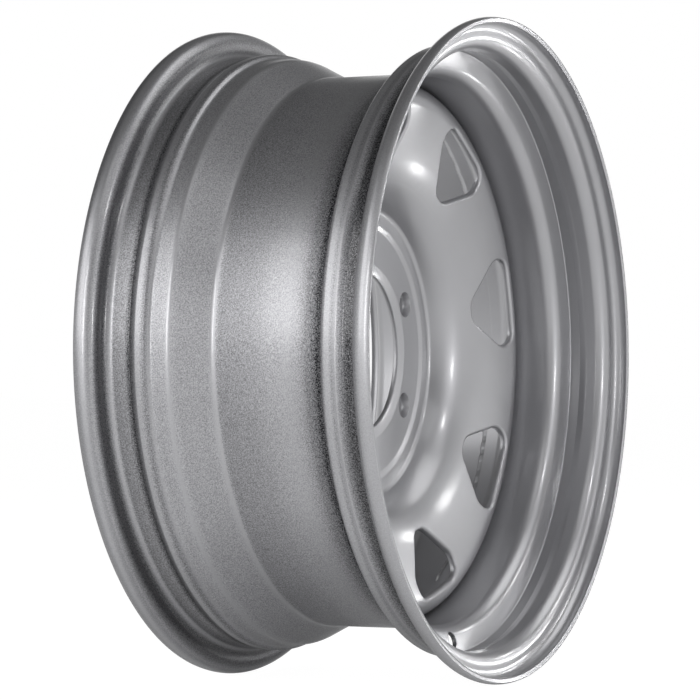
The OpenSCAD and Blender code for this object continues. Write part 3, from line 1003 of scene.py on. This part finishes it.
class WHEEL_OT_stage(Operator):
    """Set up the paper floor, the studio light and the camera"""
    bl_idname = "wheel.stage"
    bl_label = "Stage"

    # Sensor width in millimetres, then the farthest thing seen and the floor's width in metres
    SENSOR = 36
    FARTHEST = 50
    FLOOR_SIZE = 30
    # Painted shadow on the paper as the metal sees it, darker near the wheel: metres from the foot of the
    # wheel, share of white
    SHADE = ((0.1, 0.1), (0.28, 0.75))
    # How bright the walls are: height of the look, from 0 at eye level to 1 straight up, and share of white
    WALLS = ((0.15, 1.0), (0.5, 0.08))
    # The side that is left dim, and how dim: nearness to that side, share of the light left
    DIM_SIDE = (-0.6, -0.8, 0.0)
    DIM = ((0.3, 1.0), (0.9, 0.75))
    # Name, azimuth and elevation in degrees, distance, width and height in metres, watts
    LAMPS = (
        ("key_softbox", 150, 22, 1.6, 0.9, 1.0, 6.4),
        ("left_strip", -176, 14, 1.8, 0.15, 0.9, 6.0),
        ("far_lamp", -24.7, 0, 1.9, 0.14, 0.14, 1.0),
        ("low_lamp", -29.9, -8.5, 1.1, 0.08, 0.08, 0.35),
        ("high_lamp", -25, 8.5, 1.1, 0.08, 0.08, 0.3),
        ("right_lamp", -44.8, 14.4, 1.93, 0.2, 0.2, 1.7),
        ("front_lamp", -105.2, 7.3, 1.88, 0.16, 0.2, 3.4),
        ("front_lamp_high", -99.5, 32.7, 1.87, 0.14, 0.14, 3.0),
        ("top_softbox", -50, 50, 1.9, 1.2, 1.2, 9.0),
        ("front_fill", -138, 50, 1.9, 1.0, 1.0, 3.6))

    def execute(self, context):
        s = context.scene.wheel_stage
        self.floor(s)
        self.world()
        self.lamps()
        bpy.ops.object.camera_add(location=s.camera_at, rotation=s.camera_turn)
        camera = bpy.context.object
        camera.data.sensor_width = self.SENSOR
        camera.data.lens = s.lens
        camera.data.clip_end = self.FARTHEST
        context.scene.camera = camera
        context.scene.view_settings.view_transform = "Standard"
        return {"FINISHED"}

    def floor(self, s):
        """Lay a wide sheet of paper under the wheel"""
        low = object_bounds()[0][2]
        foot = Vector((0, 0, low - s.floor_gap))
        bpy.ops.object.select_all(action="DESELECT")
        bpy.ops.mesh.primitive_plane_add(size=self.FLOOR_SIZE, location=foot)
        floor = bpy.context.object
        floor.name = "paper_floor"
        bpy.ops.object.transform_apply(location=True, rotation=True, scale=True)
        floor.data.materials.append(self.paper(s, foot))
        floor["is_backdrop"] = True

    def paper(self, s, foot):
        """White studio paper: matt and plain to the eye, with only the wheel's soft shadow on it"""
        material, tree = blank_material("white_studio_paper")
        rays = add(tree, "ShaderNodeLightPath").outputs
        # The metal sees the paper white, with a painted shadow close to the wheel, set by distance from its
        # foot
        place = add(tree, "ShaderNodeTexCoord").outputs["Object"]
        away = add(tree, "ShaderNodeVectorMath", [(0, place)], operation="DISTANCE")
        away.inputs[1].default_value = foot
        shiny = calc(tree, "MULTIPLY", rays["Is Glossy Ray"],
                     ramp(tree, away.outputs["Value"], *self.SHADE, "SMOOTHSTEP"))
        seen = calc(tree, "MAXIMUM", rays["Is Camera Ray"], shiny)
        seen = calc(tree, "MAXIMUM", seen, rays["Is Transmission Ray"])
        matt = add(tree, "ShaderNodeBsdfDiffuse", Color=linear(s.paper))
        # What is seen is nearly white by itself, and the lamps add the little that the shadow takes away
        glow = add(tree, "ShaderNodeEmission", Color=(1, 1, 1, 1), Strength=0.98)
        faint = add(tree, "ShaderNodeBsdfDiffuse", Color=(0.1, 0.1, 0.1, 1))
        white = add(tree, "ShaderNodeAddShader", [(0, glow.outputs["Emission"]), (1, faint.outputs["BSDF"])])
        mixed = add(tree, "ShaderNodeMixShader", [
            (0, seen), (1, matt.outputs["BSDF"]), (2, white.outputs["Shader"])])
        add(tree, "ShaderNodeOutputMaterial", [("Surface", mixed.outputs["Shader"])])
        return material

    def world(self):
        """Put pale walls all round, under an unlit ceiling"""
        world = bpy.data.worlds.new("studio")
        bpy.context.scene.world = world
        world.use_nodes = True
        tree = world.node_tree
        tree.nodes.clear()
        way = add(tree, "ShaderNodeTexCoord").outputs["Generated"]
        height = add(tree, "ShaderNodeSeparateXYZ", [("Vector", way)]).outputs["Z"]
        aside = add(tree, "ShaderNodeVectorMath", [(0, way)], operation="DOT_PRODUCT")
        aside.inputs[1].default_value = self.DIM_SIDE
        room = calc(tree, "MULTIPLY", ramp(tree, height, *self.WALLS, "SMOOTHSTEP"),
                    ramp(tree, aside.outputs["Value"], *self.DIM, "SMOOTHSTEP"))
        seen = add(tree, "ShaderNodeLightPath").outputs["Is Camera Ray"]
        level = add(tree, "ShaderNodeMix", [("Factor", seen), ("A", room)], B=1.0).outputs["Result"]
        sky = add(tree, "ShaderNodeBackground", [("Strength", level)], Color=(1, 1, 1, 1))
        add(tree, "ShaderNodeOutputWorld", [("Surface", sky.outputs["Background"])])

    def lamps(self):
        """Hang the softboxes and small lamps, all turned to the middle of the wheel"""
        for name, azimuth, elevation, away, width, height, watts in self.LAMPS:
            a, e = math.radians(azimuth), math.radians(elevation)
            way = Vector((math.cos(e) * math.cos(a), math.cos(e) * math.sin(a), math.sin(e)))
            bpy.ops.object.light_add(type="AREA", location=way * away,
                                     rotation=way.to_track_quat("Z", "Y").to_euler())
            lamp = bpy.context.object
            lamp.name = name
            lamp.data.shape = "RECTANGLE"
            lamp.data.size = width
            lamp.data.size_y = height
            lamp.data.energy = watts


class WHEEL_PT_panel(Panel):
    """Lists the wheel's pieces and sizes in the sidebar"""
    bl_label = "Steel wheel rim"
    bl_idname = "WHEEL_PT_panel"
    bl_space_type = "VIEW_3D"
    bl_region_type = "UI"
    bl_category = "Wheel"

    def draw(self, context):
        scene = context.scene
        for operator, group in (("wheel.hoop", scene.wheel_hoop), ("wheel.disc", scene.wheel_disc),
                                ("wheel.welds", scene.wheel_weld), ("wheel.stage", scene.wheel_stage)):
            box = self.layout.box()
            box.operator(operator)
            for key in group.__annotations__:
                box.prop(group, key)
        box = self.layout.box()
        for key in scene.wheel_paint.__annotations__:
            box.prop(scene.wheel_paint, key)


GROUPS = (("wheel_hoop", HoopSizes), ("wheel_disc", DiscSizes), ("wheel_weld", WeldSizes),
          ("wheel_paint", PaintFinish), ("wheel_stage", StageSettings))
TOOLS = (WHEEL_OT_hoop, WHEEL_OT_disc, WHEEL_OT_welds, WHEEL_OT_stage, WHEEL_PT_panel)


def register():
    for name, group in GROUPS:
        bpy.utils.register_class(group)
        setattr(bpy.types.Scene, name, PointerProperty(type=group))
    for tool in TOOLS:
        bpy.utils.register_class(tool)


def unregister():
    for tool in reversed(TOOLS):
        bpy.utils.unregister_class(tool)
    for name, group in reversed(GROUPS):
        delattr(bpy.types.Scene, name)
        bpy.utils.unregister_class(group)


def main():
    register()
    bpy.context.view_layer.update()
    bpy.ops.wheel.hoop()
    bpy.ops.wheel.disc()
    bpy.ops.wheel.welds()
    bpy.ops.wheel.stage()


if __name__ == "__main__":
    main()
